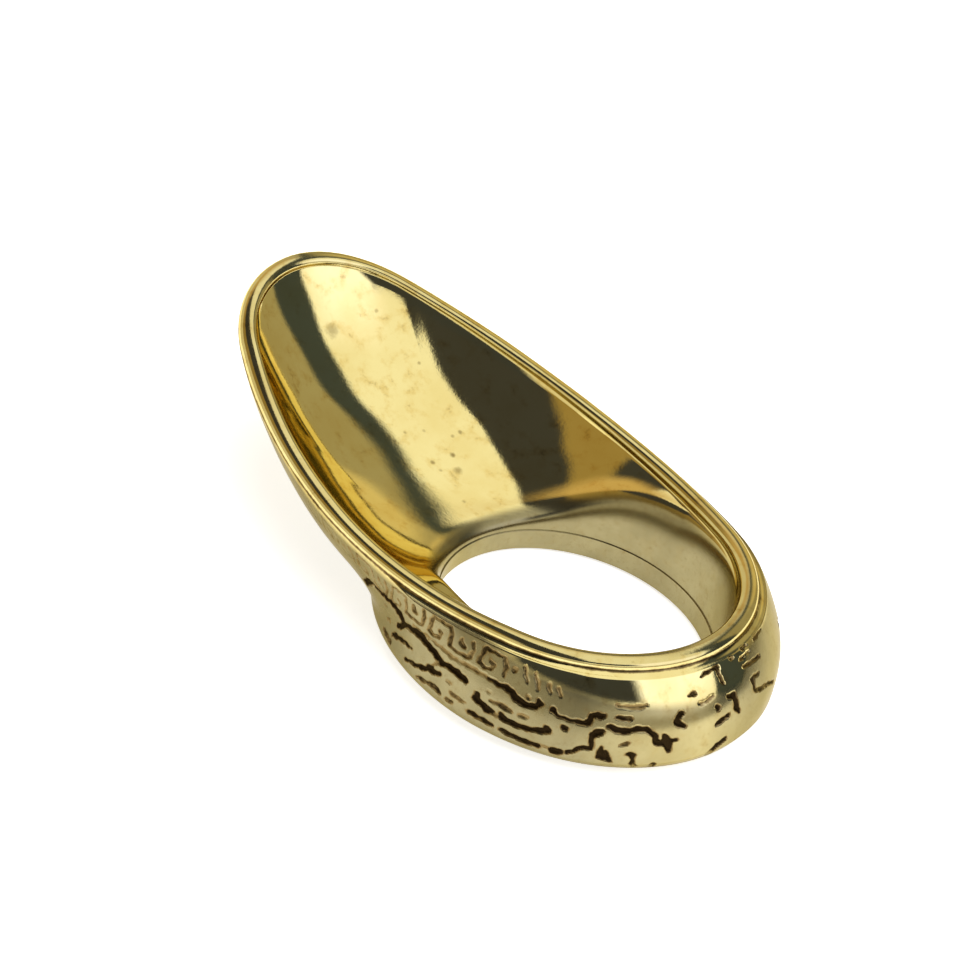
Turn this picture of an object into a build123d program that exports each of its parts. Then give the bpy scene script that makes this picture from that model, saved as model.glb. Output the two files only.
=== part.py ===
from build123d import *
import os
from math import atan2, cos, hypot, pi, radians, sin, sqrt

# Archer's thumb ring: one brass casting with a round band for the thumb and a spoon-shaped lip.
# Frame: the hole's axis is Z, the band's lower edge lies on Z = 0, the lip points along +X.

# Hole
hole_radius = 10.5
hole_wall_height = 2.0
hole_ledge = 0.1
hole_casting_allowance = 0.4
edge_break = 0.35

# Rim outline seen from above: a back arc, a tip arc and two long side arcs that touch both
back_arc_radius = 12.7
back_arc_centre = 1.3
tip_arc_radius = 10.0
tip_arc_centre = 23.7
side_arc_radius = 38.0

# Heights of the rim's centre line
rim_height_back = 7.55
rim_height_middle = 7.0
rim_height_tip = 12.2

# Rounded bead that the rim carries
bead_radius_back = 0.8
bead_radius_lip = 0.7
bead_taper_start = -2.0
bead_taper_length = 14.0

# Band
band_foot_radius = 12.9
band_widest_radius = 15.5
band_widest_height = 1.5
band_top_inset = 0.4
band_crown_cut = 0.9
band_crown_power = 2.4
band_blend = 2.5

# Lip
lip_wall = 2.0
lip_edge_power = 6
bowl_floor_height = 2.6
bowl_power = 2.6
bowl_half_flare = 7.0
bowl_hollow_power = 3
bowl_wall_run = 1.6
bowl_wall_power = 2.5

# Stations round the ring, in degrees from the tip; the first and last only steer the curves
stations = [-9, 0, 9, 17, 25, 35, 48, 64, 84, 106, 130, 155, 180, 205]
outer_shares = [0.0, 0.035, 0.08, 0.14, 0.21, 0.29, 0.39, 0.51, 0.65, 0.82, 1.0]
inner_shares = [0.0, 0.03, 0.06, 0.095, 0.135, 0.185, 0.25, 0.34, 0.45, 0.58, 0.72, 0.86, 1.0]

# Fineness of the wall curves' points, how much closer they lie at the hole, and the search for the lip
wall_steps = 200
inner_step_power = 4
search_steps = 40

# Size of the cutting solids, in reaches of the tip
cutter_reaches = 4

tip_reach = tip_arc_centre + tip_arc_radius
back_reach = back_arc_radius - back_arc_centre
rim_slope = -(rim_height_back - rim_height_middle) / back_reach
rim_curl = (rim_height_tip - rim_height_middle - rim_slope * tip_reach) / tip_reach**2
bowl_radius = hole_radius + hole_ledge


def side_arc_middle():
    """Centre of the side arc of the +Y side, from its distances to the two end arcs' centres."""
    to_back = side_arc_radius - back_arc_radius
    to_tip = side_arc_radius - tip_arc_radius
    span = tip_arc_centre - back_arc_centre
    along = (to_back**2 - to_tip**2 + span**2) / (2 * span)
    return back_arc_centre + along, -sqrt(to_back**2 - along**2)


def arc_hit(centre_x, centre_y, radius, angle):
    """Distance from the hole's axis to an arc, along a direction."""
    along = centre_x * cos(angle) + centre_y * sin(angle)
    return along + sqrt(along**2 - centre_x**2 - centre_y**2 + radius**2)


def rim_outline(angle):
    """Distance to the rim's centre line along a direction, and how squarely the rim is met."""
    turn = abs(atan2(sin(angle), cos(angle)))
    side_x, side_y = side_arc_middle()
    back_away = hypot(back_arc_centre - side_x, side_y)
    tip_away = hypot(tip_arc_centre - side_x, side_y)
    back_touch = atan2(
        side_y - side_y * side_arc_radius / back_away,
        side_x + (back_arc_centre - side_x) * side_arc_radius / back_away,
    )
    tip_touch = atan2(
        side_y - side_y * side_arc_radius / tip_away,
        side_x + (tip_arc_centre - side_x) * side_arc_radius / tip_away,
    )
    centre, radius = (side_x, side_y), side_arc_radius
    if turn > back_touch:
        centre, radius = (back_arc_centre, 0), back_arc_radius
    if turn < tip_touch:
        centre, radius = (tip_arc_centre, 0), tip_arc_radius
    reach = arc_hit(centre[0], centre[1], radius, turn)
    squareness = (reach - centre[0] * cos(turn) - centre[1] * sin(turn)) / radius
    return reach, squareness


def rim_height(forward):
    """Height of the rim's centre line at a distance along X."""
    return rim_height_middle + rim_slope * forward + rim_curl * max(forward, 0) ** 2


def band_radius(height, top_height, top_radius):
    """Outside of the band alone: a quarter ellipse, and above its widest line a cut superellipse."""
    if height < band_widest_height:
        low = 1 - height / band_widest_height
        return band_foot_radius + (band_widest_radius - band_foot_radius) * sqrt(1 - low**2)
    rise = (height - band_widest_height) / (top_height - band_widest_height)
    flat = (1 - band_crown_cut**band_crown_power) ** (1 / band_crown_power)
    bulge = (1 - (band_crown_cut * rise) ** band_crown_power) ** (1 / band_crown_power)
    return top_radius + (band_widest_radius - top_radius) * (bulge - flat) / (1 - flat)


def hollow_part(inner_reach):
    """Part of the inside's rise that is a hollow bowl, more where the rim flares; the rest is a wall."""
    flare = max(inner_reach - bowl_radius, 0)
    return flare**bowl_hollow_power / (flare**bowl_hollow_power + bowl_half_flare**bowl_hollow_power)


def lip_under_radius(height, top_height, inner_reach, outer_reach):
    """Outside of the lip alone at a height: the bowl's hollow and a slope, lower by the wall."""
    hollow = hollow_part(inner_reach)
    low, high = 0.0, 1.0
    for _ in range(search_steps):
        middle = (low + high) / 2
        rise = (1 - hollow) * middle + hollow * middle**bowl_power
        under = bowl_floor_height + (top_height - bowl_floor_height) * rise
        under -= lip_wall * (1 - middle**lip_edge_power)
        low, high = (middle, high) if under < height else (low, middle)
    return bowl_radius + (outer_reach - bowl_radius) * low


def outer_radius(height, top_height, inner_reach, outer_reach):
    """Outside of the whole ring: the larger of band and lip, with the corner between blended."""
    top_radius = min(outer_reach, band_widest_radius - band_top_inset)
    band = band_radius(height, top_height, top_radius)
    lip = lip_under_radius(height, top_height, inner_reach, outer_reach)
    share = min(max(0.5 + 0.5 * (lip - band) / band_blend, 0), 1)
    return band + (lip - band) * share + band_blend * share * (1 - share)


def spaced(points, shares):
    """Points on a close row of points, at shares of the row's length."""
    lengths = [0.0]
    for here, there in zip(points, points[1:]):
        lengths.append(lengths[-1] + hypot(there[0] - here[0], there[1] - here[1]))
    picked = []
    index = 0
    for share in shares:
        goal = share * lengths[-1]
        while index < len(points) - 2 and lengths[index + 1] < goal:
            index += 1
        part = (goal - lengths[index]) / (lengths[index + 1] - lengths[index])
        here, there = points[index], points[index + 1]
        picked.append((here[0] + (there[0] - here[0]) * part, here[1] + (there[1] - here[1]) * part))
    return picked


def inside_point(share, top_height, inner_reach):
    """Radius and height of the inside at a share of the run from the hole to the rim.

    A wall with a rounded edge, a quarter of a superellipse, stands on the hole's ledge; from its edge the
    bowl runs out to the rim as a power curve.
    """
    flare = inner_reach - bowl_radius
    away = max(1 - share * max(flare, bowl_wall_run) / bowl_wall_run, 0)
    wall = (1 - away**bowl_wall_power) ** (1 / bowl_wall_power)
    hollow = hollow_part(inner_reach)
    rise = (1 - hollow) * wall + hollow * share**bowl_power
    floor = hole_wall_height + (bowl_floor_height - hole_wall_height) * wall
    return bowl_radius + flare * share, floor + (top_height - bowl_floor_height) * rise


def smooth_line(points, shares):
    """Curve through points, with one spacing for all sections so that they loft evenly."""
    return Edge.make_spline([Vector(*point) for point in points], parameters=shares)


def section(degrees):
    """Closed wall section of the ring in the half plane at an angle from the tip."""
    angle = radians(degrees)
    reach, squareness = rim_outline(angle)
    forward = reach * cos(angle)
    top = rim_height(forward)
    taper = min(max((forward - bead_taper_start) / bead_taper_length, 0), 1)
    bead = bead_radius_back + (bead_radius_lip - bead_radius_back) * taper
    half_width = bead / squareness
    outer_reach = reach + half_width
    inner_reach = reach - half_width
    rough_radius = hole_radius - hole_casting_allowance
    foot = [(rough_radius, 0), (band_foot_radius, 0)]
    outer_row = []
    inner_row = []
    for step in range(wall_steps + 1):
        height = top * (1 - cos(pi / 2 * step / wall_steps))
        outer_row.append((outer_radius(height, top, inner_reach, outer_reach), height))
        inner_row.append(inside_point((step / wall_steps) ** inner_step_power, top, inner_reach))
    outer_row[0] = foot[1]
    outer_row[-1] = (outer_reach, top)
    outside = spaced(outer_row, outer_shares)
    inside = spaced(inner_row, inner_shares)
    outline = [
        Line(*foot),
        smooth_line(outside, outer_shares),
        ThreePointArc(outside[-1], (reach, top + bead), inside[-1]),
        smooth_line(inside, inner_shares),
        Line(inside[0], (rough_radius, hole_wall_height)),
        Line((rough_radius, hole_wall_height), foot[0]),
    ]
    across_dir = (cos(angle), sin(angle), 0)
    plane = Plane(origin=(0, 0, 0), x_dir=across_dir, z_dir=(sin(angle), -cos(angle), 0))
    return plane * make_face(outline)


def ring_body():
    """The whole casting: a half lofted through the stations, its mirror image and a bored hole."""
    half = loft([section(degrees) for degrees in stations])
    size = cutter_reaches * tip_reach
    half = half & (Pos(0, size / 2, 0) * Box(size, size, size))
    casting = half + mirror(half, Plane.XZ)
    hole = Cylinder(hole_radius, size)
    countersink = Pos(0, 0, edge_break / 2) * Cone(hole_radius + edge_break, hole_radius, edge_break)
    return casting - hole - countersink


os.makedirs("parts", exist_ok=True)
thumb_ring = ring_body()
export_step(thumb_ring, "parts/thumb_ring.step")
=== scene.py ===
from math import cos, radians, sin

import bpy
import numpy as np
from mathutils import Matrix, Vector


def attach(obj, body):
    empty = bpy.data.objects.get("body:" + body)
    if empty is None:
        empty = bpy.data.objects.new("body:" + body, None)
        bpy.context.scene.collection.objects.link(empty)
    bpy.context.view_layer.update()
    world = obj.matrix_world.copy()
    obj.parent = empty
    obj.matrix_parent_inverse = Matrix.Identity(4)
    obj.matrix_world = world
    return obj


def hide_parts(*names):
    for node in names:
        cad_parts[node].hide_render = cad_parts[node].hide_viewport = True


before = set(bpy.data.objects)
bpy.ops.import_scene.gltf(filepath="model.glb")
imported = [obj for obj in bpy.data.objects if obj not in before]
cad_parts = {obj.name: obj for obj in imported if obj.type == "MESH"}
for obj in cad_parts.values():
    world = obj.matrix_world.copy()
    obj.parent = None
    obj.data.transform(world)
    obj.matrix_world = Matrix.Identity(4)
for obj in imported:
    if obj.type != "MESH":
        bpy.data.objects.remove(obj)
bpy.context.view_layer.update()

MM = 0.001

# Hole, in millimetres like every size of the ring
HOLE_RADIUS = 10.5
HOLE_WALL_HEIGHT = 2.0
HOLE_LEDGE = 0.1
EDGE_BREAK = 0.35

# Rim outline seen from above: back arc, tip arc and side arcs
BACK_ARC_RADIUS = 12.7
BACK_ARC_CENTRE = 1.3
TIP_ARC_RADIUS = 10.0
TIP_ARC_CENTRE = 23.7
SIDE_ARC_RADIUS = 38.0

# Heights of the rim's centre line, and its bead
RIM_HEIGHT_BACK = 7.55
RIM_HEIGHT_MIDDLE = 7.0
RIM_HEIGHT_TIP = 12.2
BEAD_RADIUS_BACK = 0.8
BEAD_RADIUS_LIP = 0.7
BEAD_TAPER_START = -2.0
BEAD_TAPER_LENGTH = 14.0

# Fullness of the bead's shoulders, and the fillet on its outer flank: how far up the bead it reaches, in
# degrees, and how far down the outside
BEAD_POWER = 2.8
FILLET_TURN = 10.0
FILLET_REACH = 0.4

# Band and lip
BAND_FOOT_RADIUS = 12.9
BAND_WIDEST_RADIUS = 15.5
BAND_WIDEST_HEIGHT = 1.5
BAND_TOP_INSET = 0.4
BAND_CROWN_CUT = 0.9
BAND_CROWN_POWER = 2.4
BAND_CROWN_EASE = 0.4
BAND_EASE_POWER = 3
BAND_BLEND = 2.5
LIP_WALL = 2.0
LIP_EDGE_POWER = 6
BOWL_FLOOR_HEIGHT = 2.6
BOWL_POWER = 2.6
BOWL_HALF_FLARE = 7.0
HOLLOW_POWER = 3
BOWL_WALL_RUN = 1.6
BOWL_WALL_POWER = 2.5
BOWL_STEP_POWER = 4

# Fineness: points along a curve before its rows are picked, points round the rim, and the search for the lip
CURVE_STEPS = 300
RIM_STEPS = 7200
SEARCH_STEPS = 24

# Columns of the surface, counted on half of the ring: wide ones on the plain tip, up to a distance along the
# rim, and close ones on the rest. All of them cross the outside, and one in each stride crosses the inside.
TIP_COLUMNS = 88
BAND_COLUMNS = 420
PLAIN_TIP = 19.0
INNER_STRIDE = 4

# Rows down the outside, as start, end and count in zones below the rim, with the rows on to the foot, and how
# long the outside is where the rows start to spread evenly and where they are even
ROW_ZONES = [(0.0, 0.6, 7), (0.6, 2.5, 23), (2.5, 7.5, 43)]
FOOT_ROWS = 6
SHORT_OUTSIDE = 10.0
LONG_OUTSIDE = 18.0

# Rows of the bead and of the bowl, and the power that draws the bowl's rows closer to the hole
BEAD_ROWS = 13
BOWL_ROWS = 48
BOWL_ROW_POWER = 1.35

TIP_REACH = TIP_ARC_CENTRE + TIP_ARC_RADIUS
RIM_SLOPE = -(RIM_HEIGHT_BACK - RIM_HEIGHT_MIDDLE) / (BACK_ARC_RADIUS - BACK_ARC_CENTRE)
RIM_CURL = (RIM_HEIGHT_TIP - RIM_HEIGHT_MIDDLE - RIM_SLOPE * TIP_REACH) / TIP_REACH**2
BOWL_RADIUS = HOLE_RADIUS + HOLE_LEDGE


def eased(share):
    """Share from 0 to 1 with a level start and end."""
    return share * share * (3 - 2 * share)


def rim_outline(angle):
    """Distance from the hole's axis to the rim's centre line, and how squarely it is met: the cosine of the
    angle between the direction and a line square to the rim.

    The angle is folded on to one side of the ring, where the outline is three touching arcs. Along a
    direction an arc is met at a + sqrt(a*a - c*c + r*r), where c is the distance to its centre, a that
    distance along the direction and r its radius."""
    turn = np.abs(np.arctan2(np.sin(angle), np.cos(angle)))
    to_back = SIDE_ARC_RADIUS - BACK_ARC_RADIUS
    to_tip = SIDE_ARC_RADIUS - TIP_ARC_RADIUS
    span = TIP_ARC_CENTRE - BACK_ARC_CENTRE
    along = (to_back**2 - to_tip**2 + span**2) / (2 * span)
    side_x = BACK_ARC_CENTRE + along
    side_y = -np.sqrt(to_back**2 - along**2)

    def touch(centre):
        """Direction of the place where the side arc touches the arc round a centre on the X axis."""
        away = np.hypot(centre - side_x, side_y)
        reach = SIDE_ARC_RADIUS / away
        return np.arctan2(side_y - side_y * reach, side_x + (centre - side_x) * reach)

    on_back = turn > touch(BACK_ARC_CENTRE)
    on_tip = turn < touch(TIP_ARC_CENTRE)
    centre_x = np.where(on_back, BACK_ARC_CENTRE, np.where(on_tip, TIP_ARC_CENTRE, side_x))
    centre_y = np.where(on_back | on_tip, 0, side_y)
    radius = np.where(on_back, BACK_ARC_RADIUS, np.where(on_tip, TIP_ARC_RADIUS, SIDE_ARC_RADIUS))
    ahead = centre_x * np.cos(turn) + centre_y * np.sin(turn)
    reach = ahead + np.sqrt(ahead**2 - centre_x**2 - centre_y**2 + radius**2)
    return reach, (reach - ahead) / radius


def rim_profile(angle):
    """Reach, height, bead radius and the bead's half width in the radial plane, all round the rim."""
    reach, squareness = rim_outline(angle)
    forward = reach * np.cos(angle)
    top = RIM_HEIGHT_MIDDLE + RIM_SLOPE * forward + RIM_CURL * np.maximum(forward, 0) ** 2
    taper = np.clip((forward - BEAD_TAPER_START) / BEAD_TAPER_LENGTH, 0, 1)
    bead = BEAD_RADIUS_BACK + (BEAD_RADIUS_LIP - BEAD_RADIUS_BACK) * taper
    return reach, top, bead, bead / squareness


def hollow_part(inner):
    """Part of the inside's rise that is a hollow bowl: none where the rim stands over the hole, and more the
    further the rim flares, by a power of the flare; the rest is a wall round the hole."""
    flare = np.maximum(inner - BOWL_RADIUS, 0)
    return flare**HOLLOW_POWER / (flare**HOLLOW_POWER + BOWL_HALF_FLARE**HOLLOW_POWER)


def outside_curve(angle):
    """Close row of points on the outside, from the foot up to the rim: radius and height.

    The band is a quarter ellipse below its widest line. Above it the band is a superellipse that is cut off
    where it meets the bead, so that it still slopes there, and eased in a little under it. The underside
    of the lip is the bowl's curve, lower by the wall. The outside is the smooth maximum of both."""
    reach, top, _, half_width = rim_profile(angle)
    outer = (reach + half_width)[:, None]
    inner = (reach - half_width)[:, None]
    top = top[:, None]
    height = top * (1 - np.cos(np.pi / 2 * np.linspace(0, 1, CURVE_STEPS + 1)))
    top_radius = np.minimum(outer, BAND_WIDEST_RADIUS - BAND_TOP_INSET)
    low = 1 - height / BAND_WIDEST_HEIGHT
    rise = (height - BAND_WIDEST_HEIGHT) / (top - BAND_WIDEST_HEIGHT)
    below = np.sqrt(np.clip(1 - low**2, 0, 1))
    flat = (1 - BAND_CROWN_CUT**BAND_CROWN_POWER) ** (1 / BAND_CROWN_POWER)
    risen = np.clip(rise, 0, 1)
    above = np.clip(1 - (BAND_CROWN_CUT * risen) ** BAND_CROWN_POWER, 0, 1)
    above = (above ** (1 / BAND_CROWN_POWER) - flat) / (1 - flat)
    above -= BAND_CROWN_EASE * risen**BAND_EASE_POWER * (1 - risen)
    band = np.where(
        height < BAND_WIDEST_HEIGHT,
        BAND_FOOT_RADIUS + (BAND_WIDEST_RADIUS - BAND_FOOT_RADIUS) * below,
        top_radius + (BAND_WIDEST_RADIUS - top_radius) * above,
    )
    hollow = hollow_part(inner)
    least, most = np.zeros_like(height), np.ones_like(height)
    for _ in range(SEARCH_STEPS):
        middle = (least + most) / 2
        share = middle + hollow * (middle**BOWL_POWER - middle)
        under = BOWL_FLOOR_HEIGHT + (top - BOWL_FLOOR_HEIGHT) * share
        under -= LIP_WALL * (1 - middle**LIP_EDGE_POWER)
        least = np.where(under < height, middle, least)
        most = np.where(under < height, most, middle)
    lip = BOWL_RADIUS + (outer - BOWL_RADIUS) * least
    blend = np.clip(0.5 + 0.5 * (lip - band) / BAND_BLEND, 0, 1)
    radius = band + (lip - band) * blend + BAND_BLEND * blend * (1 - blend)
    radius[:, 0] = BAND_FOOT_RADIUS
    radius[:, -1] = outer[:, 0]
    return radius, height


def picked(length, goal, *rows):
    """Values of close rows of points at wanted lengths along them, on straight lines between the points."""
    place = (length[:, None, :] <= goal[:, :, None]).sum(axis=2) - 1
    place = np.clip(place, 0, length.shape[1] - 2)
    start = np.take_along_axis(length, place, 1)
    part = (goal - start) / (np.take_along_axis(length, place + 1, 1) - start)
    here = [np.take_along_axis(values, place, 1) for values in rows]
    there = [np.take_along_axis(values, place + 1, 1) for values in rows]
    return [first + (second - first) * part for first, second in zip(here, there)]


def rows_down(radius, height):
    """The outside's rows, counted down from the rim: radius, height and distance below the rim.

    On the band the rows stand at set distances below the rim, close together where the ornament is. Where
    the lip makes the outside longer they spread evenly, and in between the two spacings are mixed."""
    steps = np.hypot(np.diff(radius, axis=1), np.diff(height, axis=1))[:, ::-1]
    length = np.concatenate([np.zeros((len(radius), 1)), np.cumsum(steps, axis=1)], axis=1)
    whole = length[:, -1:]
    zones = [np.linspace(start, end, count, endpoint=False) for start, end, count in ROW_ZONES]
    set_rows = np.concatenate(zones)
    last = ROW_ZONES[-1][1]
    tail = last + (whole - last) * np.linspace(0, 1, FOOT_ROWS)
    close = np.concatenate([np.broadcast_to(set_rows, (len(radius), len(set_rows))), tail], axis=1)
    even = whole * np.linspace(0, 1, close.shape[1])
    spread = np.clip((whole - SHORT_OUTSIDE) / (LONG_OUTSIDE - SHORT_OUTSIDE), 0, 1)
    goal = close + (even - close) * eased(spread)
    return *picked(length, goal, radius[:, ::-1], height[:, ::-1]), goal


def bead_section(turn):
    """Shares of the bead's half width and height at angles round its middle: a superellipse, a half circle
    with fuller shoulders."""
    across, up = np.cos(turn), np.sin(turn)
    size = (np.abs(across) ** BEAD_POWER + np.abs(up) ** BEAD_POWER) ** (-1 / BEAD_POWER)
    return across * size, up * size


def filleted(radius, height, down, bead, half_width):
    """The outside's rows with their top end raised on to the bead's flank, by the square of what is left of
    the fillet's reach."""
    raised = np.clip(1 - down / FILLET_REACH, 0, 1) ** 2
    across, up = bead_section(radians(FILLET_TURN))
    radius = radius - half_width[:, None] * (1 - across) * raised
    return radius, height + bead[:, None] * up * raised


def bowl_curve(angle, shares):
    """Radius and height of the inside at shares of its length, from the hole's ledge up to the rim, and how
    far each place is down the wall.

    A wall with a rounded edge, a quarter of a superellipse, stands on the ledge; from it the bowl runs out
    to the rim as a power curve. The further the rim is away, the lower the wall and the deeper the bowl."""
    reach, top, _, half_width = rim_profile(angle)
    inner = (reach - half_width)[:, None]
    share = np.linspace(0, 1, CURVE_STEPS + 1)[None] ** BOWL_STEP_POWER
    flare = inner - BOWL_RADIUS
    away = np.maximum(1 - share * np.maximum(flare, BOWL_WALL_RUN) / BOWL_WALL_RUN, 0)
    wall = (1 - away**BOWL_WALL_POWER) ** (1 / BOWL_WALL_POWER)
    hollow = hollow_part(inner)
    rise = (1 - hollow) * wall + hollow * share**BOWL_POWER
    radius = BOWL_RADIUS + flare * share
    floor = HOLE_WALL_HEIGHT + (BOWL_FLOOR_HEIGHT - HOLE_WALL_HEIGHT) * wall
    height = floor + (top[:, None] - BOWL_FLOOR_HEIGHT) * rise
    pieces = np.hypot(np.diff(radius, axis=1), np.diff(height, axis=1))
    length = np.concatenate([np.zeros((len(radius), 1)), np.cumsum(pieces, axis=1)], axis=1)
    return picked(length, shares * length[:, -1:], radius, height, away)


# Depth of the carving, softness of its edges and reach of the dirt beside it, in millimetres, and how many
# reaches away the dirt has faded to nothing
CARVED_DEPTH = 0.2
CARVED_EDGE = 0.07
STAIN_REACH = 0.1
STAIN_END = 4

# How far the strokes wander, and the waves that they follow along the rim and down from it: radians for each
# millimetre along and down
WOBBLE = 0.028
WANDER_ALONG = [(2.1, 7.3), (11.9, -4.7)]
WANDER_DOWN = [(8.7, 3.3), (-2.9, 13.1)]

# Darker colour along the groove between the bead and the outside: its strength, and how far down from the rim
# it fades, in millimetres
GROOVE_DARKENING = 0.8
GROOVE_REACH = 0.12

# Level of the fret row's top below the rim, and its depth, at distances along the rim from the tip
FRET_TOP = [(0, 0.7), (37, 0.75), (41.5, 1.0), (44, 1.15), (48, 1.45), (53, 1.35), (57, 0.9), (90, 0.85)]
FRET_DEPTH = [(21, 0.0), (24, 0.25), (34, 0.5), (36, 0.64), (43.5, 0.67), (44.2, 0.0)]
FRET_START = 21.8
FRET_PERIOD = 4.12
FRET_REPEATS = 6

# One repeat of the fret, two keys long: strokes of (along, down, half width), in millimetres
FRET = [
    [(0.0, 0.05, 0.09), (0.0, 1.15, 0.09), (0.5, 1.3, 0.07), (0.95, 1.18, 0.09), (1.0, 0.85, 0.09),
     (0.7, 0.65, 0.05)],
    [(0.0, -0.05, 0.05), (1.45, -0.03, 0.05), (1.55, 0.15, 0.09), (1.75, 0.6, 0.09), (1.82, 1.15, 0.09)],
    [(1.82, 1.2, 0.05), (2.3, 1.32, 0.05), (3.35, 1.28, 0.07), (3.45, 1.2, 0.12), (3.5, 0.6, 0.09),
     (3.25, 0.1, 0.08)],
    [(2.42, 0.3, 0.08), (2.5, 0.58, 0.14), (2.9, 0.75, 0.05)],
]

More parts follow.
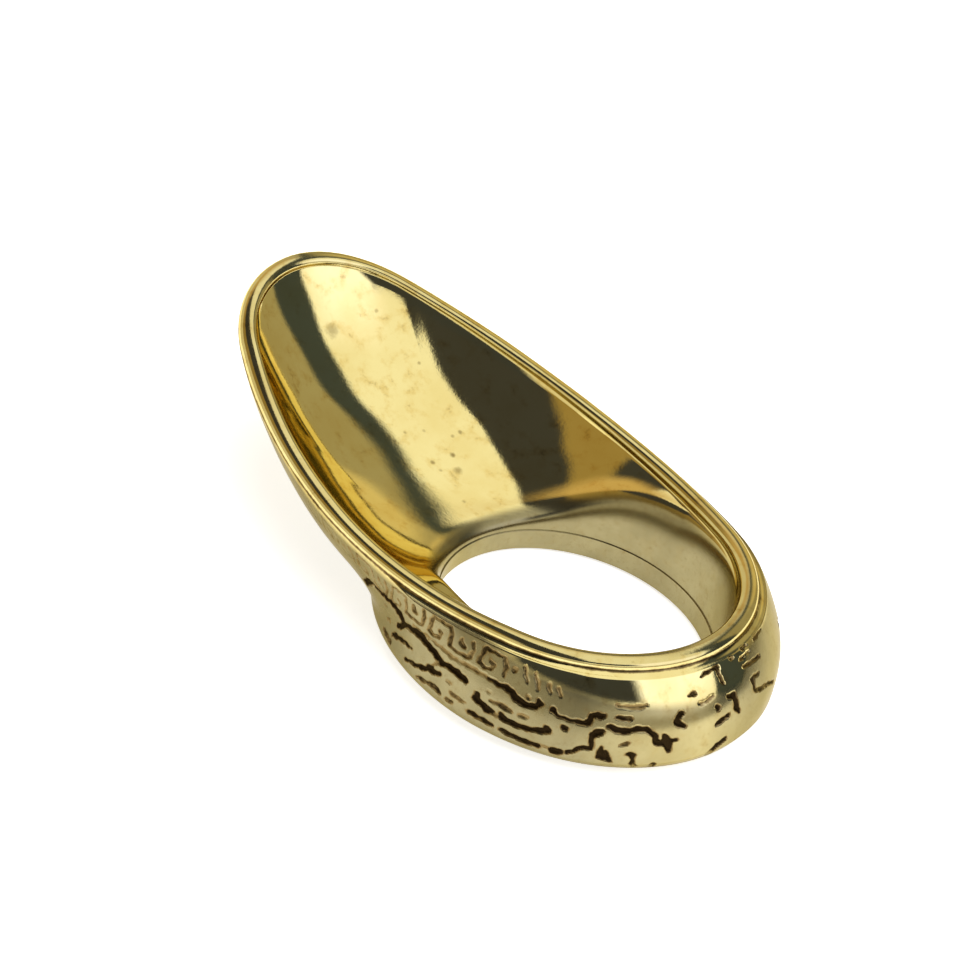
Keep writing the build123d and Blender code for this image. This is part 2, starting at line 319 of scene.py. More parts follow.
# Clouds and other marks below the fret: depth, then strokes of (along, down, half width), in millimetres
CLOUDS = [
    (0.55, [(44.7, 1.6, 0.12), (44.75, 1.75, 0.1)]),
    (0.55, [(45.25, 1.25, 0.08), (45.7, 2.15, 0.09)]),
    (0.55, [(46.05, 1.45, 0.08), (46.5, 2.4, 0.08)]),
    (0.55, [(47.0, 1.85, 0.08), (47.25, 2.4, 0.08)]),
    (0.55, [(47.65, 2.0, 0.08), (47.9, 2.5, 0.08)]),
    (1.0, [(29.7, 3.95, 0.14), (30.3, 3.4, 0.2), (30.8, 2.85, 0.24), (31.2, 2.55, 0.14), (32.2, 2.4, 0.1),
           (33.2, 2.3, 0.1), (34.1, 2.22, 0.13), (34.9, 2.4, 0.2), (35.4, 2.55, 0.22), (35.9, 2.85, 0.14)]),
    (1.0, [(35.4, 3.65, 0.2), (35.7, 3.55, 0.24), (36.0, 3.15, 0.2), (36.6, 3.05, 0.15), (37.3, 2.93, 0.22),
           (38.0, 2.93, 0.24), (38.6, 3.12, 0.17), (39.3, 3.3, 0.16), (39.8, 3.5, 0.18), (40.1, 3.68, 0.18),
           (40.8, 3.66, 0.14), (41.5, 3.75, 0.18), (42.2, 3.98, 0.15)]),
    (0.6, [(39.95, 3.8, 0.1), (39.75, 4.15, 0.07), (39.6, 4.5, 0.12)]),
    (0.9, [(34.9, 4.85, 0.14), (35.25, 4.72, 0.2), (35.8, 4.6, 0.13), (36.6, 4.52, 0.08),
           (37.4, 4.42, 0.05)]),
    (1.0, [(37.2, 5.6, 0.06), (37.7, 5.42, 0.1), (38.2, 5.35, 0.1), (38.7, 5.15, 0.15), (39.2, 4.95, 0.14),
           (39.4, 4.7, 0.22), (39.9, 4.72, 0.18), (40.35, 4.6, 0.13)]),
    (0.7, [(33.3, 5.4, 0.12), (34.1, 5.45, 0.2), (34.9, 5.6, 0.15)]),
    (0.6, [(33.75, 4.15, 0.14), (34.05, 4.1, 0.16)]),
    (0.3, [(33.1, 3.15, 0.12), (33.5, 3.05, 0.12)]),
    (0.8, [(38.7, 6.05, 0.08), (39.4, 5.95, 0.12), (39.9, 5.85, 0.1), (40.3, 5.8, 0.17), (40.8, 6.0, 0.1)]),
    (0.4, [(41.05, 4.75, 0.11), (41.3, 4.75, 0.1)]),
    (0.6, [(41.6, 5.45, 0.08), (42.1, 5.55, 0.13), (42.6, 5.6, 0.08)]),
    (0.7, [(41.4, 6.15, 0.1), (41.8, 6.2, 0.1)]),
    (1.0, [(43.15, 4.5, 0.12), (43.15, 4.8, 0.2), (43.6, 5.0, 0.16), (44.15, 5.3, 0.22), (44.4, 5.3, 0.1)]),
    (1.0, [(44.9, 5.1, 0.07), (45.1, 5.45, 0.18), (45.8, 5.6, 0.14), (46.6, 5.6, 0.15), (47.3, 5.5, 0.15),
           (47.8, 5.35, 0.2), (47.65, 5.1, 0.12)]),
    (0.6, [(44.4, 5.38, 0.07), (45.0, 5.45, 0.07)]),
    (0.7, [(44.0, 4.5, 0.06), (44.7, 4.5, 0.09), (45.1, 4.6, 0.15), (45.4, 4.7, 0.08)]),
    (0.5, [(46.0, 4.72, 0.12), (46.4, 4.72, 0.1)]),
    (0.3, [(43.75, 3.9, 0.1), (43.9, 3.92, 0.1)]),
    (0.9, [(43.1, 6.15, 0.16), (43.7, 6.25, 0.13), (44.3, 6.32, 0.13), (44.7, 6.4, 0.06)]),
    (0.9, [(45.2, 6.45, 0.1), (45.5, 6.55, 0.14), (46.1, 6.65, 0.1), (46.8, 6.75, 0.14), (47.5, 6.8, 0.13)]),
    (0.5, [(47.85, 6.65, 0.08), (48.1, 6.75, 0.07)]),
    (1.0, [(48.4, 6.85, 0.2), (48.7, 6.9, 0.23)]),
    (1.0, [(49.2, 6.75, 0.1), (49.55, 6.55, 0.15), (49.75, 6.2, 0.12), (50.1, 6.1, 0.08), (50.4, 6.1, 0.1),
           (50.35, 5.6, 0.11), (50.25, 5.2, 0.08), (50.3, 4.95, 0.14), (50.5, 4.8, 0.22), (50.8, 4.6, 0.14)]),
    (1.0, [(47.65, 3.5, 0.08), (47.75, 3.65, 0.14), (48.0, 3.95, 0.07), (48.6, 4.08, 0.06),
           (49.3, 4.15, 0.12), (49.75, 4.18, 0.15), (50.0, 3.85, 0.14), (49.95, 3.55, 0.15),
           (50.3, 3.42, 0.14), (50.6, 3.5, 0.18)]),
    (1.0, [(43.4, 3.0, 0.05), (44.2, 3.1, 0.11), (44.7, 3.12, 0.16), (45.05, 3.25, 0.15),
           (45.4, 3.55, 0.17), (45.75, 3.75, 0.19), (46.2, 3.85, 0.14), (46.7, 3.7, 0.13),
           (46.85, 3.45, 0.16), (46.75, 3.2, 0.08)]),
    (0.4, [(46.1, 3.2, 0.1), (46.2, 3.25, 0.1)]),
    (0.5, [(37.0, 2.55, 0.05), (38.9, 2.55, 0.05), (40.0, 2.7, 0.08), (40.7, 2.85, 0.12), (41.2, 2.85, 0.1),
           (42.2, 2.85, 0.08), (43.2, 2.95, 0.07)]),
    (0.8, [(48.55, 4.7, 0.1), (48.75, 4.85, 0.13)]),
    (0.9, [(51.5, 3.5, 0.07), (51.9, 3.5, 0.1), (52.2, 3.55, 0.18)]),
    (1.0, [(51.1, 4.15, 0.12), (51.5, 4.35, 0.15), (51.9, 4.5, 0.18), (52.3, 4.45, 0.15), (52.8, 4.32, 0.13),
           (53.3, 4.35, 0.12), (53.7, 4.65, 0.12), (53.95, 5.0, 0.1), (54.05, 5.4, 0.15), (54.3, 5.6, 0.18),
           (54.7, 5.5, 0.26), (54.9, 5.9, 0.2), (54.95, 6.4, 0.08)]),
    (1.0, [(54.45, 4.9, 0.04), (54.65, 5.2, 0.14), (55.0, 5.5, 0.12), (55.35, 5.45, 0.04)]),
    (1.0, [(50.95, 5.9, 0.08), (51.0, 6.4, 0.14), (51.05, 6.75, 0.2), (51.5, 6.95, 0.13),
           (51.65, 7.15, 0.06)]),
    (1.0, [(51.25, 6.3, 0.07), (51.45, 6.85, 0.1)]),
    (0.7, [(51.95, 5.65, 0.06), (52.35, 5.5, 0.12)]),
    (1.0, [(52.6, 6.4, 0.12), (52.85, 6.5, 0.16), (52.9, 6.9, 0.07), (52.95, 7.2, 0.12), (53.2, 7.7, 0.13)]),
    (1.0, [(54.2, 7.5, 0.12), (54.4, 7.9, 0.16)]),
    (1.0, [(55.55, 3.4, 0.1), (55.3, 3.7, 0.14), (55.25, 4.0, 0.18), (55.5, 4.3, 0.15), (55.8, 4.5, 0.04)]),
    (0.4, [(56.9, 3.1, 0.1), (57.4, 3.0, 0.08), (57.9, 2.8, 0.05)]),
    (0.7, [(56.2, 2.28, 0.08), (56.5, 2.25, 0.14)]),
    (0.9, [(58.1, 3.7, 0.13), (58.2, 3.8, 0.15)]),
    (1.0, [(58.1, 5.05, 0.1), (58.5, 4.85, 0.16), (58.95, 4.75, 0.15)]),
    (1.0, [(59.1, 3.3, 0.08), (59.5, 3.4, 0.18), (59.65, 3.8, 0.12), (59.7, 4.3, 0.18), (59.9, 4.8, 0.11)]),
    (1.0, [(57.95, 7.6, 0.17), (58.4, 7.15, 0.24), (58.9, 6.8, 0.22)]),
    (0.8, [(57.3, 1.15, 0.05), (57.7, 0.98, 0.07), (58.3, 0.92, 0.07), (58.7, 0.88, 0.12), (58.7, 1.4, 0.08),
           (58.8, 2.0, 0.1), (58.95, 2.2, 0.04)]),
    (0.5, [(51.4, 2.6, 0.07), (52.0, 2.7, 0.08), (52.7, 2.7, 0.12), (53.15, 2.6, 0.1)]),
    (0.5, [(60.15, 0.75, 0.12), (60.3, 0.85, 0.13)]),
    (0.6, [(61.6, 0.7, 0.13), (62.1, 0.7, 0.1)]),
    (0.5, [(61.0, 1.3, 0.08), (62.2, 1.2, 0.1)]),
    (0.7, [(61.1, 1.9, 0.08), (61.9, 2.03, 0.08), (63.0, 2.15, 0.08)]),
    (0.5, [(63.2, 0.82, 0.09), (63.8, 0.8, 0.08), (64.5, 0.85, 0.05)]),
    (0.8, [(62.4, 3.15, 0.06), (61.9, 3.1, 0.08), (61.6, 3.2, 0.15), (61.6, 3.7, 0.08), (61.7, 4.15, 0.1),
           (62.2, 4.4, 0.11), (62.9, 4.55, 0.13), (63.6, 4.85, 0.11), (64.3, 5.3, 0.08)]),
]

# Distance along the rim, from the tip, up to which the strokes have a mirror image on the other side
MIRRORED_UP_TO = 51.0


def at(table, along):
    """Value of a short table at distances along the rim, on straight lines between its entries."""
    places, values = zip(*table)
    return np.interp(along, places, values)


def all_strokes(whole):
    """Every stroke of the ornament as (depth, points): the fret's repeats and the clouds, and their mirror
    images on the other side of the ring, at the rim's whole length less their own distance from the tip."""
    strokes = list(CLOUDS)
    for repeat in range(FRET_REPEATS):
        start = FRET_START + repeat * FRET_PERIOD
        for key in FRET:
            points = [(start + along, at(FRET_TOP, start + along) + down, half) for along, down, half in key]
            strokes.append((float(at(FRET_DEPTH, start + key[0][0])), points))
    for depth, points in list(strokes):
        if max(point[0] for point in points) < MIRRORED_UP_TO:
            strokes.append((depth, [(whole - along, down, half) for along, down, half in points]))
    return strokes


def wander(along, down, waves):
    """Sum of sine waves over the chart of the ornament, in millimetres."""
    return WOBBLE * sum(np.sin(across * along + deep * down) for across, deep in waves)


def carving(along, down, whole):
    """How deeply the outside is cut and how dark it is stained, 0 to 1, on a grid of places.

    A stroke is a row of capsules whose half width runs evenly from point to point, on a chart bent a little
    by sine waves, as a hand cuts it. The cut falls from 1 inside to 0 outside over a soft edge, and the
    stain fades away as a bell curve of the distance."""
    cut = np.zeros_like(down)
    stain = np.zeros_like(down)
    far = STAIN_END * STAIN_REACH
    column = along[:, None]
    bent_along = column + wander(column, down, WANDER_ALONG)
    bent_down = down + wander(column, down, WANDER_DOWN)
    for depth, points in all_strokes(whole):
        for (x0, y0, w0), (x1, y1, w1) in zip(points, points[1:]):
            first, last = np.searchsorted(along, [min(x0, x1) - far, max(x0, x1) + far])
            x = bent_along[first:last] - x0
            y = bent_down[first:last] - y0
            run = (x1 - x0) ** 2 + (y1 - y0) ** 2
            part = np.clip((x * (x1 - x0) + y * (y1 - y0)) / run, 0, 1)
            away = np.hypot(x - part * (x1 - x0), y - part * (y1 - y0)) - w0 - part * (w1 - w0)
            edge = np.clip(0.5 - 0.5 * away / CARVED_EDGE, 0, 1)
            cut[first:last] = np.maximum(cut[first:last], depth * eased(edge))
            halo = np.exp(-((np.maximum(away, 0) / STAIN_REACH) ** 2))
            stain[first:last] = np.maximum(stain[first:last], depth * halo)
    return cut, stain


def grid_normals(points):
    """Unit normals of a grid that closes on itself both ways, from the differences of its neighbours."""
    around = np.roll(points, -1, axis=0) - np.roll(points, 1, axis=0)
    across = np.roll(points, -1, axis=1) - np.roll(points, 1, axis=1)
    normals = np.cross(across, around)
    return normals / np.linalg.norm(normals, axis=-1, keepdims=True)


# Slow unevenness of the hand-finished surface: how far each wave is shifted from the one before, in radians,
# and the direction, waves per millimetre and height of each. In the bowl they grow from nothing at the hole
# to full at a share of the way up.
WAVE_SHIFT = 1.7
WAVES_FULL_SHARE = 0.15
WAVES = [
    ((0.8, 0.5, 0.3), 0.13, 0.007),
    ((-0.4, 0.8, 0.5), 0.17, 0.006),
    ((0.3, -0.6, 0.8), 0.24, 0.004),
    ((0.9, -0.4, -0.2), 0.36, 0.002),
    ((-0.2, 0.3, 0.9), 0.47, 0.0015),
]


def unevenness(points):
    """Sum of slow waves through space, in millimetres, at each point."""
    height = np.zeros(points.shape[:-1])
    for place, (direction, pace, size) in enumerate(WAVES):
        height += size * np.sin(2 * np.pi * pace * (points @ np.array(direction)) + WAVE_SHIFT * place)
    return height


# Where the outside keeps its dull cast skin: below this line, counted down from the rim, with a fade, and how
# dull it is there, both at distances along the rim from the tip; then how dull the hole and the bead are, and
# between which shares of the way down the bowl's wall the hole's skin fades in
POLISH_LINE = [
    (0, 0.4), (36, 0.3), (41.5, 0.0), (44, 0.8), (46, 1.4), (49, 1.9), (52, 2.5), (57, 3.0), (60.5, 2.8),
    (62.5, 0.8), (75, 0.2), (119, 0.2),
]
POLISH_FADE = 0.7
DULLNESS = [(0, 1.0), (49, 1.0), (54, 0.75), (57.5, 0.7), (61, 1.0), (119, 1.0)]
INNER_SKIN = 0.95
BEAD_SKIN = 0.25
WALL_SKIN_FADE = (0.05, 0.6)


def finish_zone(along, down):
    """How far the outside keeps its dull cast skin, 0 polished to 1 dull: dull below a line under the rim."""
    line = at(POLISH_LINE, along)[:, None]
    return np.clip((down - line) / POLISH_FADE + 0.5, 0, 1) * at(DULLNESS, along)[:, None]


# The hole from the foot up: its rounded edge and its wall, as radius and height in edge breaks, and the small
# ledge where the bore ends, which shows as a casting line, in millimetres off the hole's wall and its top
HOLE_PROFILE = [(1.0, 0.0), (0.5, 0.36), (0.14, 0.72), (0.0, 1.15), (0.0, 3.2), (0.0, 5.2)]
LEDGE_PROFILE = [(0.0, -0.06), (0.02, -0.015), (0.08, 0.0)]


def ring_surface():
    """The whole casting as one grid: columns go round the hole, rows go down the outside from the rim,
    across the foot, up the hole, up the bowl and over the bead. Also each point's normal, stain and skin,
    and how many of the rows lie on the outside. The stain also holds the darker line along the groove between
    the bead and the outside."""
    turn = np.linspace(0, 2 * np.pi, RIM_STEPS + 1)
    reach, top, _, _ = rim_profile(turn)
    rim = np.stack([reach * np.cos(turn), reach * np.sin(turn), top], axis=-1)
    length = np.concatenate([[0], np.cumsum(np.linalg.norm(np.diff(rim, axis=0), axis=1))])
    whole = length[-1]
    near = np.concatenate([
        np.linspace(0, PLAIN_TIP, TIP_COLUMNS, endpoint=False),
        np.linspace(PLAIN_TIP, whole / 2, BAND_COLUMNS, endpoint=False),
    ])
    along = np.concatenate([near, [whole / 2], whole - near[:0:-1]])
    angle = np.interp(along, length, turn)

    reach, top, bead, half_width = rim_profile(angle)
    out_radius, out_height, down = rows_down(*outside_curve(angle))
    out_radius, out_height = filleted(out_radius, out_height, down, bead, half_width)
    ones = np.ones((len(angle), 1))
    hole_radii = HOLE_RADIUS + EDGE_BREAK * np.array(HOLE_PROFILE)[:, 0]
    hole_heights = EDGE_BREAK * np.array(HOLE_PROFILE)[:, 1]
    ledge = np.array(LEDGE_PROFILE)
    bowl_shares = np.linspace(0, 1, BOWL_ROWS) ** BOWL_ROW_POWER
    in_radius, in_height, wall = bowl_curve(angle, bowl_shares)
    across, up = bead_section(np.linspace(np.pi, radians(FILLET_TURN), BEAD_ROWS + 2)[1:-1])
    bead_radius = reach[:, None] + half_width[:, None] * across
    bead_height = top[:, None] + bead[:, None] * up
    ledge_radii = ones * (HOLE_RADIUS + ledge[:, 0])
    ledge_heights = ones * (HOLE_WALL_HEIGHT + ledge[:, 1])
    radius = [out_radius, ones * hole_radii, ledge_radii, in_radius, bead_radius]
    radius = np.concatenate(radius, axis=1)
    height = [out_height, ones * hole_heights, ledge_heights, in_height, bead_height]
    height = np.concatenate(height, axis=1)
    points = np.stack([np.cos(angle)[:, None] * radius, np.sin(angle)[:, None] * radius, height], axis=-1)

    outside = out_radius.shape[1]
    cut, stain = carving(along, down, whole)
    normals = grid_normals(points)
    bowl_start = outside + len(hole_radii) + len(ledge)
    fade = np.ones(points.shape[:2])
    fade[:, :outside] = np.clip(out_height / BAND_WIDEST_HEIGHT, 0, 1)
    fade[:, outside:bowl_start] = 0
    fade[:, bowl_start:bowl_start + BOWL_ROWS] = np.clip(bowl_shares / WAVES_FULL_SHARE, 0, 1)
    sink = (sum(size for _, _, size in WAVES) + unevenness(points)) * fade
    sink[:, :outside] += CARVED_DEPTH * cut
    points = points - normals * sink[..., None]
    skin = np.zeros(points.shape[:2])
    skin[:, :outside] = finish_zone(along, down)
    skin[:, outside:bowl_start] = INNER_SKIN
    wall = np.clip((wall - WALL_SKIN_FADE[0]) / (WALL_SKIN_FADE[1] - WALL_SKIN_FADE[0]), 0, 1)
    skin[:, bowl_start:bowl_start + BOWL_ROWS] = INNER_SKIN * eased(wall)
    skin[:, bowl_start + BOWL_ROWS:] = BEAD_SKIN
    dark = np.zeros(points.shape[:2])
    # Darker colour along the groove between the bead and the outside, kept together with the carving's stain
    groove = GROOVE_DARKENING * np.exp(-((down / GROOVE_REACH) ** 2))
    dark[:, :outside] = np.maximum(stain, groove)
    return points, grid_normals(points), dark, skin, outside


def ring_mesh(name):
    """Mesh of the casting: all columns on the outside, one in each stride elsewhere, joined by fans."""
    points, normals, stain, skin, outside = ring_surface()
    columns, rows = points.shape[:2]
    fine = np.arange(columns * outside).reshape(columns, outside)
    coarse_columns = columns // INNER_STRIDE
    inner_rows = rows - outside
    coarse = columns * outside + np.arange(coarse_columns * inner_rows).reshape(coarse_columns, inner_rows)
    keep = np.s_[::INNER_STRIDE, outside:]
    vertices = np.concatenate([points[:, :outside].reshape(-1, 3), points[keep].reshape(-1, 3)]) * MM
    directions = np.concatenate([normals[:, :outside].reshape(-1, 3), normals[keep].reshape(-1, 3)])

    def quads(index):
        """Faces between neighbouring rows and columns of a grid whose last column meets its first."""
        right = np.roll(index, -1, axis=0)
        return np.stack([index[:, :-1], index[:, 1:], right[:, 1:], right[:, :-1]], axis=-1).reshape(-1, 4)

    def fans(fine_row, coarse_row, flip):
        """Strip between a close row and a wide one: the first half of each stride's edges meets the wide
        row's point here, the second half the one after, and one triangle fills the gap between."""
        groups = fine_row.reshape(-1, INNER_STRIDE)
        after = np.roll(groups[:, 0], -1)
        here, there = coarse_row, np.roll(coarse_row, -1)
        half = INNER_STRIDE // 2
        edge = np.concatenate([groups, after[:, None]], axis=1)
        triangles = []
        for place in range(INNER_STRIDE):
            point = here if place < half else there
            triangles.append(np.stack([edge[:, place], edge[:, place + 1], point], axis=-1))
        triangles.append(np.stack([edge[:, half], there, here], axis=-1))
        triangles = np.concatenate(triangles)
        return triangles[:, ::-1] if flip else triangles

    faces = quads(fine).tolist() + quads(coarse).tolist()
    faces += fans(fine[:, -1], coarse[:, 0], True).tolist()
    faces += fans(fine[:, 0], coarse[:, -1], False).tolist()
    mesh = bpy.data.meshes.new(name)
    mesh.from_pydata(vertices.tolist(), [], faces)
    mesh.shade_smooth()
    mesh.normals_split_custom_set_from_vertices(directions.tolist())
    for label, values in (("stain", stain), ("cast_skin", skin)):
        layer = mesh.attributes.new(label, "FLOAT", "POINT")
        values = np.concatenate([values[:, :outside].ravel(), values[keep].ravel()])
        layer.data.foreach_set("value", values.astype(np.float32))
    return mesh


# Camera: where it stands round the hole, how high, and the photo's tilt, in degrees; its distance in metres;
# its sensor in millimetres; and in the photo's own pixels the scale, the hole's middle and the frame
VIEW_AROUND = 149.5
VIEW_UP = 36.5
VIEW_TILT = -18.3
VIEW_DISTANCE = 0.5
SENSOR_WIDTH = 36.0
PIXELS_PER_MM = 13.48
HOLE_PIXEL = (569.25, 640.9)
FRAME_PIXELS = 980


def aim_camera():
    """Camera whose axes are worked out from its turn, height and tilt."""
    around, up, tilt = radians(VIEW_AROUND), radians(VIEW_UP), radians(VIEW_TILT)
    right = Vector((cos(around), -sin(around), 0))
    ahead = Vector((sin(around) * cos(up), cos(around) * cos(up), -sin(up)))
    above = right.cross(ahead)
    picture_right = right * cos(tilt) - above * sin(tilt)
    picture_up = right * sin(tilt) + above * cos(tilt)
    place = -ahead * VIEW_DISTANCE
    half = FRAME_PIXELS / 2
    target = picture_right * ((half - HOLE_PIXEL[0]) / PIXELS_PER_MM * MM)
    target += picture_up * ((HOLE_PIXEL[1] - half) / PIXELS_PER_MM * MM)
    back = (place - target).normalized()
    side = picture_up.cross(back).normalized()
    upward = back.cross(side)
    data = bpy.data.cameras.new("camera")
    data.sensor_width = SENSOR_WIDTH
    data.lens = PIXELS_PER_MM * VIEW_DISTANCE / MM / FRAME_PIXELS * SENSOR_WIDTH
    camera = bpy.data.objects.new("camera", data)
    bpy.context.collection.objects.link(camera)
    turn = Matrix((side, upward, back)).transposed()
    camera.matrix_world = Matrix.Translation(place) @ turn.to_4x4()
    bpy.context.scene.camera = camera


def node(tree, kind, **settings):
    """New node with some of its settings filled in."""
    made = tree.nodes.new(kind)
    for name, value in settings.items():
        setattr(made, name, value)
    return made


def maths(tree, operation, first, second=None, third=None):
    """Math node of up to three inputs, each a number or an output."""
    made = node(tree, "ShaderNodeMath", operation=operation)
    for place, value in enumerate((first, second, third)):
        if value is None:
            continue
        if isinstance(value, (int, float)):
            made.inputs[place].default_value = value
        else:
            tree.links.new(value, made.inputs[place])
    return made.outputs[0]


def soft_step(tree, value, start, end):
    """Smooth rise from 0 at start to 1 at end."""
    made = node(tree, "ShaderNodeMapRange", interpolation_type="SMOOTHSTEP")
    tree.links.new(value, made.inputs["Value"])
    made.inputs["From Min"].default_value = start
    made.inputs["From Max"].default_value = end
    return made.outputs["Result"]


# Surroundings, seen from the ring, in degrees: name, form, direction, angle above the horizon, half width,
# half height, lean as degrees aside for each degree up, softness as a share, colour. Each is an oval or a box
# with a soft edge, and later ones cover earlier ones.
ROOM = (0.60, 0.57, 0.50)
SURROUNDINGS = [
    ("overhead softbox", "oval", -120, 75, 75, 45, 0, 0.1, (1.12, 1.12, 1.08)),
    ("left softbox", "box", -150, 60, 70, 46, 0, 0.06, (1.12, 1.12, 1.08)),
    ("right softbox", "box", -60, 72, 40, 38, 0, 0.03, (1.12, 1.12, 1.08)),
    ("softbox middle", "oval", -165, 33, 28, 18, 0, 0.5, (1.5, 1.55, 1.9)),
    ("dark ceiling", "box", 51, 76, 92, 34, 0, 0.02, (0.055, 0.056, 0.065)),
    ("warm wall", "oval", 36, 20, 64, 43, 0, 0.04, (0.38, 0.28, 0.11)),
    ("warm wall light", "oval", -28, 35, 26, 13, 0, 0.45, (0.68, 0.50, 0.24)),
    ("pale wall", "box", 46, 9, 84, 25, 0, 0.08, (0.85, 0.80, 0.66)),
    ("small light", "oval", 74, 30, 7, 9, 0, 0.35, (1.2, 1.15, 0.95)),
    ("dark cloth", "box", 137, 35, 38, 10, 0, 0.12, (0.05, 0.055, 0.07)),
    ("door frame", "oval", -100.1, -23.4, 55.2, 75.5, 0.09, 0.02, (0.06, 0.075, 0.09)),
    ("doorway", "oval", -79.9, -17.8, 38.1, 62.1, -0.11, 0.04, (0.42, 0.38, 0.25)),
    ("doorway light", "oval", -71, 20, 9, 12, 0, 0.35, (0.80, 0.68, 0.38)),
]


# Backdrop, floor and the light overhead: place, size and power
BACKDROP = (1.0, 1.0, 1.0)
FLOOR_REACH = 3.0
FLOOR_COLOUR = (0.8, 0.8, 0.8)
FLOOR_GLOW = 0.7
FLOOR_ROUGHNESS = 0.8
FLOOR_SHINE = 0.1
LIGHT_PLACE = (-0.2, -0.2, 1.6)
LIGHT_SIZE = 2.0
LIGHT_POWER = 26


def surroundings():
    """Room and softboxes that the brass mirrors, as soft-edged fields of direction. Only the camera's own
    rays see a plain white backdrop instead.

    A field's strength is a smooth step of its distance from the middle, in shares of its half sizes."""
    world = bpy.data.worlds.new("surroundings")
    world.use_nodes = True
    tree = world.node_tree
    place = node(tree, "ShaderNodeTexCoord").outputs["Generated"]
    split = node(tree, "ShaderNodeSeparateXYZ")
    tree.links.new(place, split.inputs[0])
    x, y, z = split.outputs
    around = maths(tree, "DEGREES", maths(tree, "ARCTAN2", y, x))
    above = maths(tree, "DEGREES", maths(tree, "ARCSINE", z))
    colour = None
    for name, form, middle, level, half_width, half_height, lean, soft, tone in SURROUNDINGS:
        upright = maths(tree, "MULTIPLY_ADD", above, -lean, lean * level - middle)
        aside = maths(tree, "WRAP", maths(tree, "ADD", around, upright), 180.0, -180.0)
        aside = maths(tree, "DIVIDE", maths(tree, "ABSOLUTE", aside), half_width)
        apart = maths(tree, "ABSOLUTE", maths(tree, "SUBTRACT", above, level))
        apart = maths(tree, "DIVIDE", apart, half_height)
        if form == "oval":
            squares = maths(tree, "ADD", maths(tree, "POWER", aside, 2), maths(tree, "POWER", apart, 2))
            away = maths(tree, "SQRT", squares)
        else:
            away = maths(tree, "MAXIMUM", aside, apart)
        strength = soft_step(tree, away, 1 + soft, 1 - soft)
        mix = node(tree, "ShaderNodeMix", data_type="RGBA", label=name)
        tree.links.new(strength, mix.inputs["Factor"])
        if colour is None:
            mix.inputs["A"].default_value = (*ROOM, 1)
        else:
            tree.links.new(colour, mix.inputs["A"])
        mix.inputs["B"].default_value = (*tone, 1)
        colour = mix.outputs["Result"]
    seen = node(tree, "ShaderNodeLightPath").outputs["Is Camera Ray"]
    last = node(tree, "ShaderNodeMix", data_type="RGBA", label="backdrop")
    tree.links.new(seen, last.inputs["Factor"])
    tree.links.new(colour, last.inputs["A"])
    last.inputs["B"].default_value = (*BACKDROP, 1)
    tree.links.new(last.outputs["Result"], tree.nodes["Background"].inputs["Color"])
    bpy.context.scene.world = world


def overhead_light():
    """Square soft light over the ring, turned to it. The brass doesn't mirror it."""
    data = bpy.data.lights.new("overhead light", "AREA")
    data.size = LIGHT_SIZE
    data.energy = LIGHT_POWER
    light = bpy.data.objects.new("overhead light", data)
    light.location = LIGHT_PLACE
    light.rotation_euler = Vector(LIGHT_PLACE).to_track_quat("Z", "Y").to_euler()
    light.visible_glossy = False
    bpy.context.collection.objects.link(light)


def studio():
    """Pale floor, surroundings and one soft light from above."""
    surroundings()
    mesh = bpy.data.meshes.new("floor")
    reach = FLOOR_REACH
    corners = [(-reach, -reach, 0), (reach, -reach, 0), (reach, reach, 0), (-reach, reach, 0)]
    mesh.from_pydata(corners, [], [(0, 1, 2, 3)])
    floor = bpy.data.objects.new("floor", mesh)
    bpy.context.collection.objects.link(floor)
    material = bpy.data.materials.new("pale floor")
    material.use_nodes = True
    shader = material.node_tree.nodes["Principled BSDF"]
    shader.inputs["Base Color"].default_value = (*FLOOR_COLOUR, 1)
    shader.inputs["Roughness"].default_value = FLOOR_ROUGHNESS
    shader.inputs["Specular IOR Level"].default_value = FLOOR_SHINE
    shader.inputs["Emission Color"].default_value = (1, 1, 1, 1)
    shader.inputs["Emission Strength"].default_value = FLOOR_GLOW
    mesh.materials.append(material)
    bpy.context.scene.view_settings.view_transform = "Standard"
    overhead_light()


# Tarnish spots and casting pits in the bowl: place, radius in millimetres and strength. A spot is gone at the
# first of two shares of its radius and full at the second.
SPOTS = [
    ((29.2, -1.6, 8.7), 0.75, 0.55),
    ((28.6, -5.8, 9.4), 0.22, 0.5),
    ((24.3, -6.9, 6.9), 0.2, 0.6),
    ((20.9, -2.6, 4.2), 0.2, 0.45),
    ((20.7, -1.3, 4.1), 0.2, 0.4),
    ((20.3, -4.1, 4.2), 0.18, 0.35),
    ((18.7, -5.7, 4.2), 0.2, 0.5),
    ((18.6, -6.4, 4.3), 0.24, 0.7),
    ((17.5, -4.6, 3.6), 0.3, 0.85),
    ((17.8, -2.7, 3.4), 0.26, 0.75),
    ((16.9, -2.7, 3.3), 0.2, 0.45),
    ((16.2, -3.9, 3.3), 0.45, 0.6),
    ((13.6, -1.9, 3.0), 0.25, 0.5),
]
SPOT_EDGE = (1.6, 0.7)

# Noises of the brass: scale, detail and roughness
CLOUDING = (220, 4, 0.55)
MOTTLE = (750, 5, 0.6)
GRAIN = (2600, 5, 0.65)

# Colours of polished and dull brass: the plain one, then tints as noise, where they start and are full, how
# strong they get and their colour
POLISHED = (0.84, 0.71, 0.31)
POLISHED_TINTS = [
    (CLOUDING, 0.35, 0.7, 1.0, (0.79, 0.64, 0.25)),
    (MOTTLE, 0.48, 0.75, 1.0, (0.74, 0.56, 0.19)),
]
DULL = (0.31, 0.265, 0.135)
DULL_TINTS = [
    (CLOUDING, 0.35, 0.7, 1.0, (0.235, 0.20, 0.10)),
    (MOTTLE, 0.45, 0.7, 0.5, (0.27, 0.22, 0.10)),
    (GRAIN, 0.5, 0.72, 0.6, (0.22, 0.17, 0.075)),
]

# Colour of the spots, and the tint of the brass where it is seen at a glancing angle
SPOT_COLOUR = (0.24, 0.17, 0.05)
EDGE_TINT = (0.82, 0.74, 0.52)
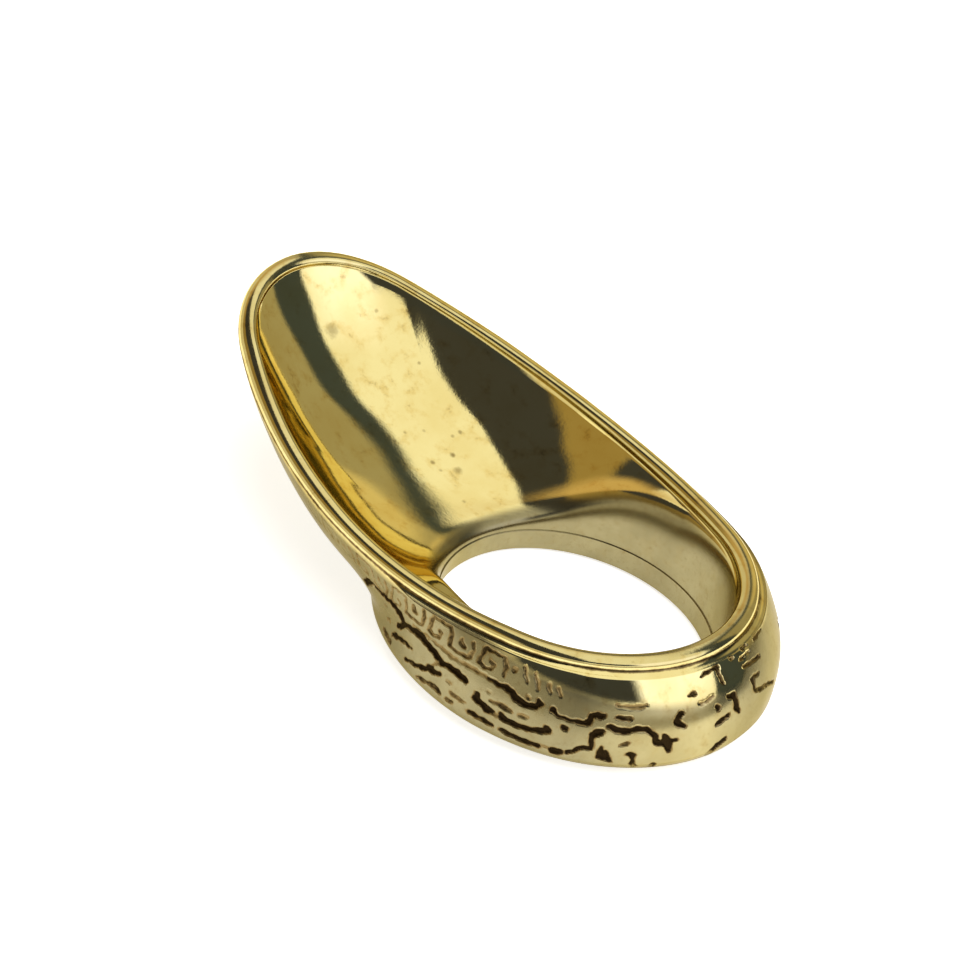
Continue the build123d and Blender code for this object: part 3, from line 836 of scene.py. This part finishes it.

# Brown border and dark dirt of the carving: where each starts and is full, and how ragged noises make them
# These colours also fall on the darker line along the groove between the bead and the outside
BORDER_RISE = (0.1, 0.5)
BORDER_COLOUR = (0.22, 0.15, 0.055)
DIRT_RISE = (0.45, 0.9)
DIRT_COLOUR = (0.030, 0.018, 0.007)
RAGGED = [(GRAIN, 0.6), (MOTTLE, 0.9)]
NOISE_MIDDLE = 0.5

# Roughness of the polished brass and what skin, clouding and dirt add; strength and depth of the grain's bump
SMOOTH = 0.03
SKIN_ROUGHNESS = 0.22
CLOUDING_ROUGHNESS = 0.04
DIRT_ROUGHNESS = 0.35
BUMP_STRENGTH = 0.2
BUMP_DEPTH = 0.000015


def noise(tree, place, kind):
    """Strength of a noise of a scale, detail and roughness at each place."""
    made = node(tree, "ShaderNodeTexNoise")
    tree.links.new(place, made.inputs["Vector"])
    for socket, value in zip(("Scale", "Detail", "Roughness"), kind):
        made.inputs[socket].default_value = value
    return made.outputs["Fac"]


def mixed(tree, strength, first, second):
    """Mix of two colours, each a constant or an output."""
    made = node(tree, "ShaderNodeMix", data_type="RGBA")
    for socket, value in (("Factor", strength), ("A", first), ("B", second)):
        if isinstance(value, tuple):
            made.inputs[socket].default_value = (*value, 1)
        else:
            tree.links.new(value, made.inputs[socket])
    return made.outputs["Result"]


def tinted(tree, noises, colour, tints):
    """Colour with its tints mixed in, one after the other."""
    for kind, start, full, most, tint in tints:
        strength = maths(tree, "MULTIPLY", soft_step(tree, noises[kind], start, full), most)
        colour = mixed(tree, strength, colour, tint)
    return colour


def spots(tree, place, grain):
    """Strength of the spots, each by its distance: a share of the radius as large as the grain's noise is
    added to the distance, which makes the edge ragged."""
    strength = 0.0
    for middle, radius, most in SPOTS:
        away = node(tree, "ShaderNodeVectorMath", operation="DISTANCE")
        tree.links.new(place, away.inputs[0])
        away.inputs[1].default_value = [value * MM for value in middle]
        ragged = maths(tree, "MULTIPLY_ADD", grain, radius * MM, away.outputs["Value"])
        outer, inner = (share * radius * MM for share in SPOT_EDGE)
        spot = soft_step(tree, ragged, outer, inner)
        strength = maths(tree, "MAXIMUM", maths(tree, "MULTIPLY", spot, most), strength)
    return strength


def brass():
    """Polished cast brass with spots, a duller cast skin, and brown-edged dark dirt in the carving."""
    material = bpy.data.materials.new("polished brass")
    material.use_nodes = True
    tree = material.node_tree
    shader = tree.nodes["Principled BSDF"]
    shader.inputs["Metallic"].default_value = 1.0
    shader.inputs["Specular Tint"].default_value = (*EDGE_TINT, 1)
    # The stain attribute also holds the darker line along the groove between the bead and the outside
    stain = node(tree, "ShaderNodeAttribute", attribute_name="stain").outputs["Fac"]
    skin = node(tree, "ShaderNodeAttribute", attribute_name="cast_skin").outputs["Fac"]
    place = node(tree, "ShaderNodeTexCoord").outputs["Object"]
    noises = {kind: noise(tree, place, kind) for kind in (CLOUDING, MOTTLE, GRAIN)}

    polished = tinted(tree, noises, POLISHED, POLISHED_TINTS)
    dull = tinted(tree, noises, DULL, DULL_TINTS)
    metal = mixed(tree, skin, polished, dull)
    metal = mixed(tree, spots(tree, place, noises[GRAIN]), metal, SPOT_COLOUR)
    uneven = stain
    for kind, share in RAGGED:
        swing = maths(tree, "MULTIPLY_ADD", noises[kind], share, -share * NOISE_MIDDLE)
        uneven = maths(tree, "ADD", uneven, swing)
    metal = mixed(tree, soft_step(tree, uneven, *BORDER_RISE), metal, BORDER_COLOUR)
    dirt = soft_step(tree, uneven, *DIRT_RISE)
    tree.links.new(mixed(tree, dirt, metal, DIRT_COLOUR), shader.inputs["Base Color"])

    rough = maths(tree, "MULTIPLY_ADD", skin, SKIN_ROUGHNESS, SMOOTH)
    rough = maths(tree, "MULTIPLY_ADD", noises[CLOUDING], CLOUDING_ROUGHNESS, rough)
    rough = maths(tree, "MULTIPLY_ADD", dirt, DIRT_ROUGHNESS, rough)
    tree.links.new(rough, shader.inputs["Roughness"])
    bump = node(tree, "ShaderNodeBump")
    bump.inputs["Strength"].default_value = BUMP_STRENGTH
    bump.inputs["Distance"].default_value = BUMP_DEPTH
    tree.links.new(noises[GRAIN], bump.inputs["Height"])
    tree.links.new(bump.outputs["Normal"], shader.inputs["Normal"])
    return material


ring = bpy.data.objects.new("cast_ring", ring_mesh("cast_ring"))
ring.data.materials.append(brass())
bpy.context.collection.objects.link(ring)
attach(ring, "root")
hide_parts("thumb_ring")
aim_camera()
studio()
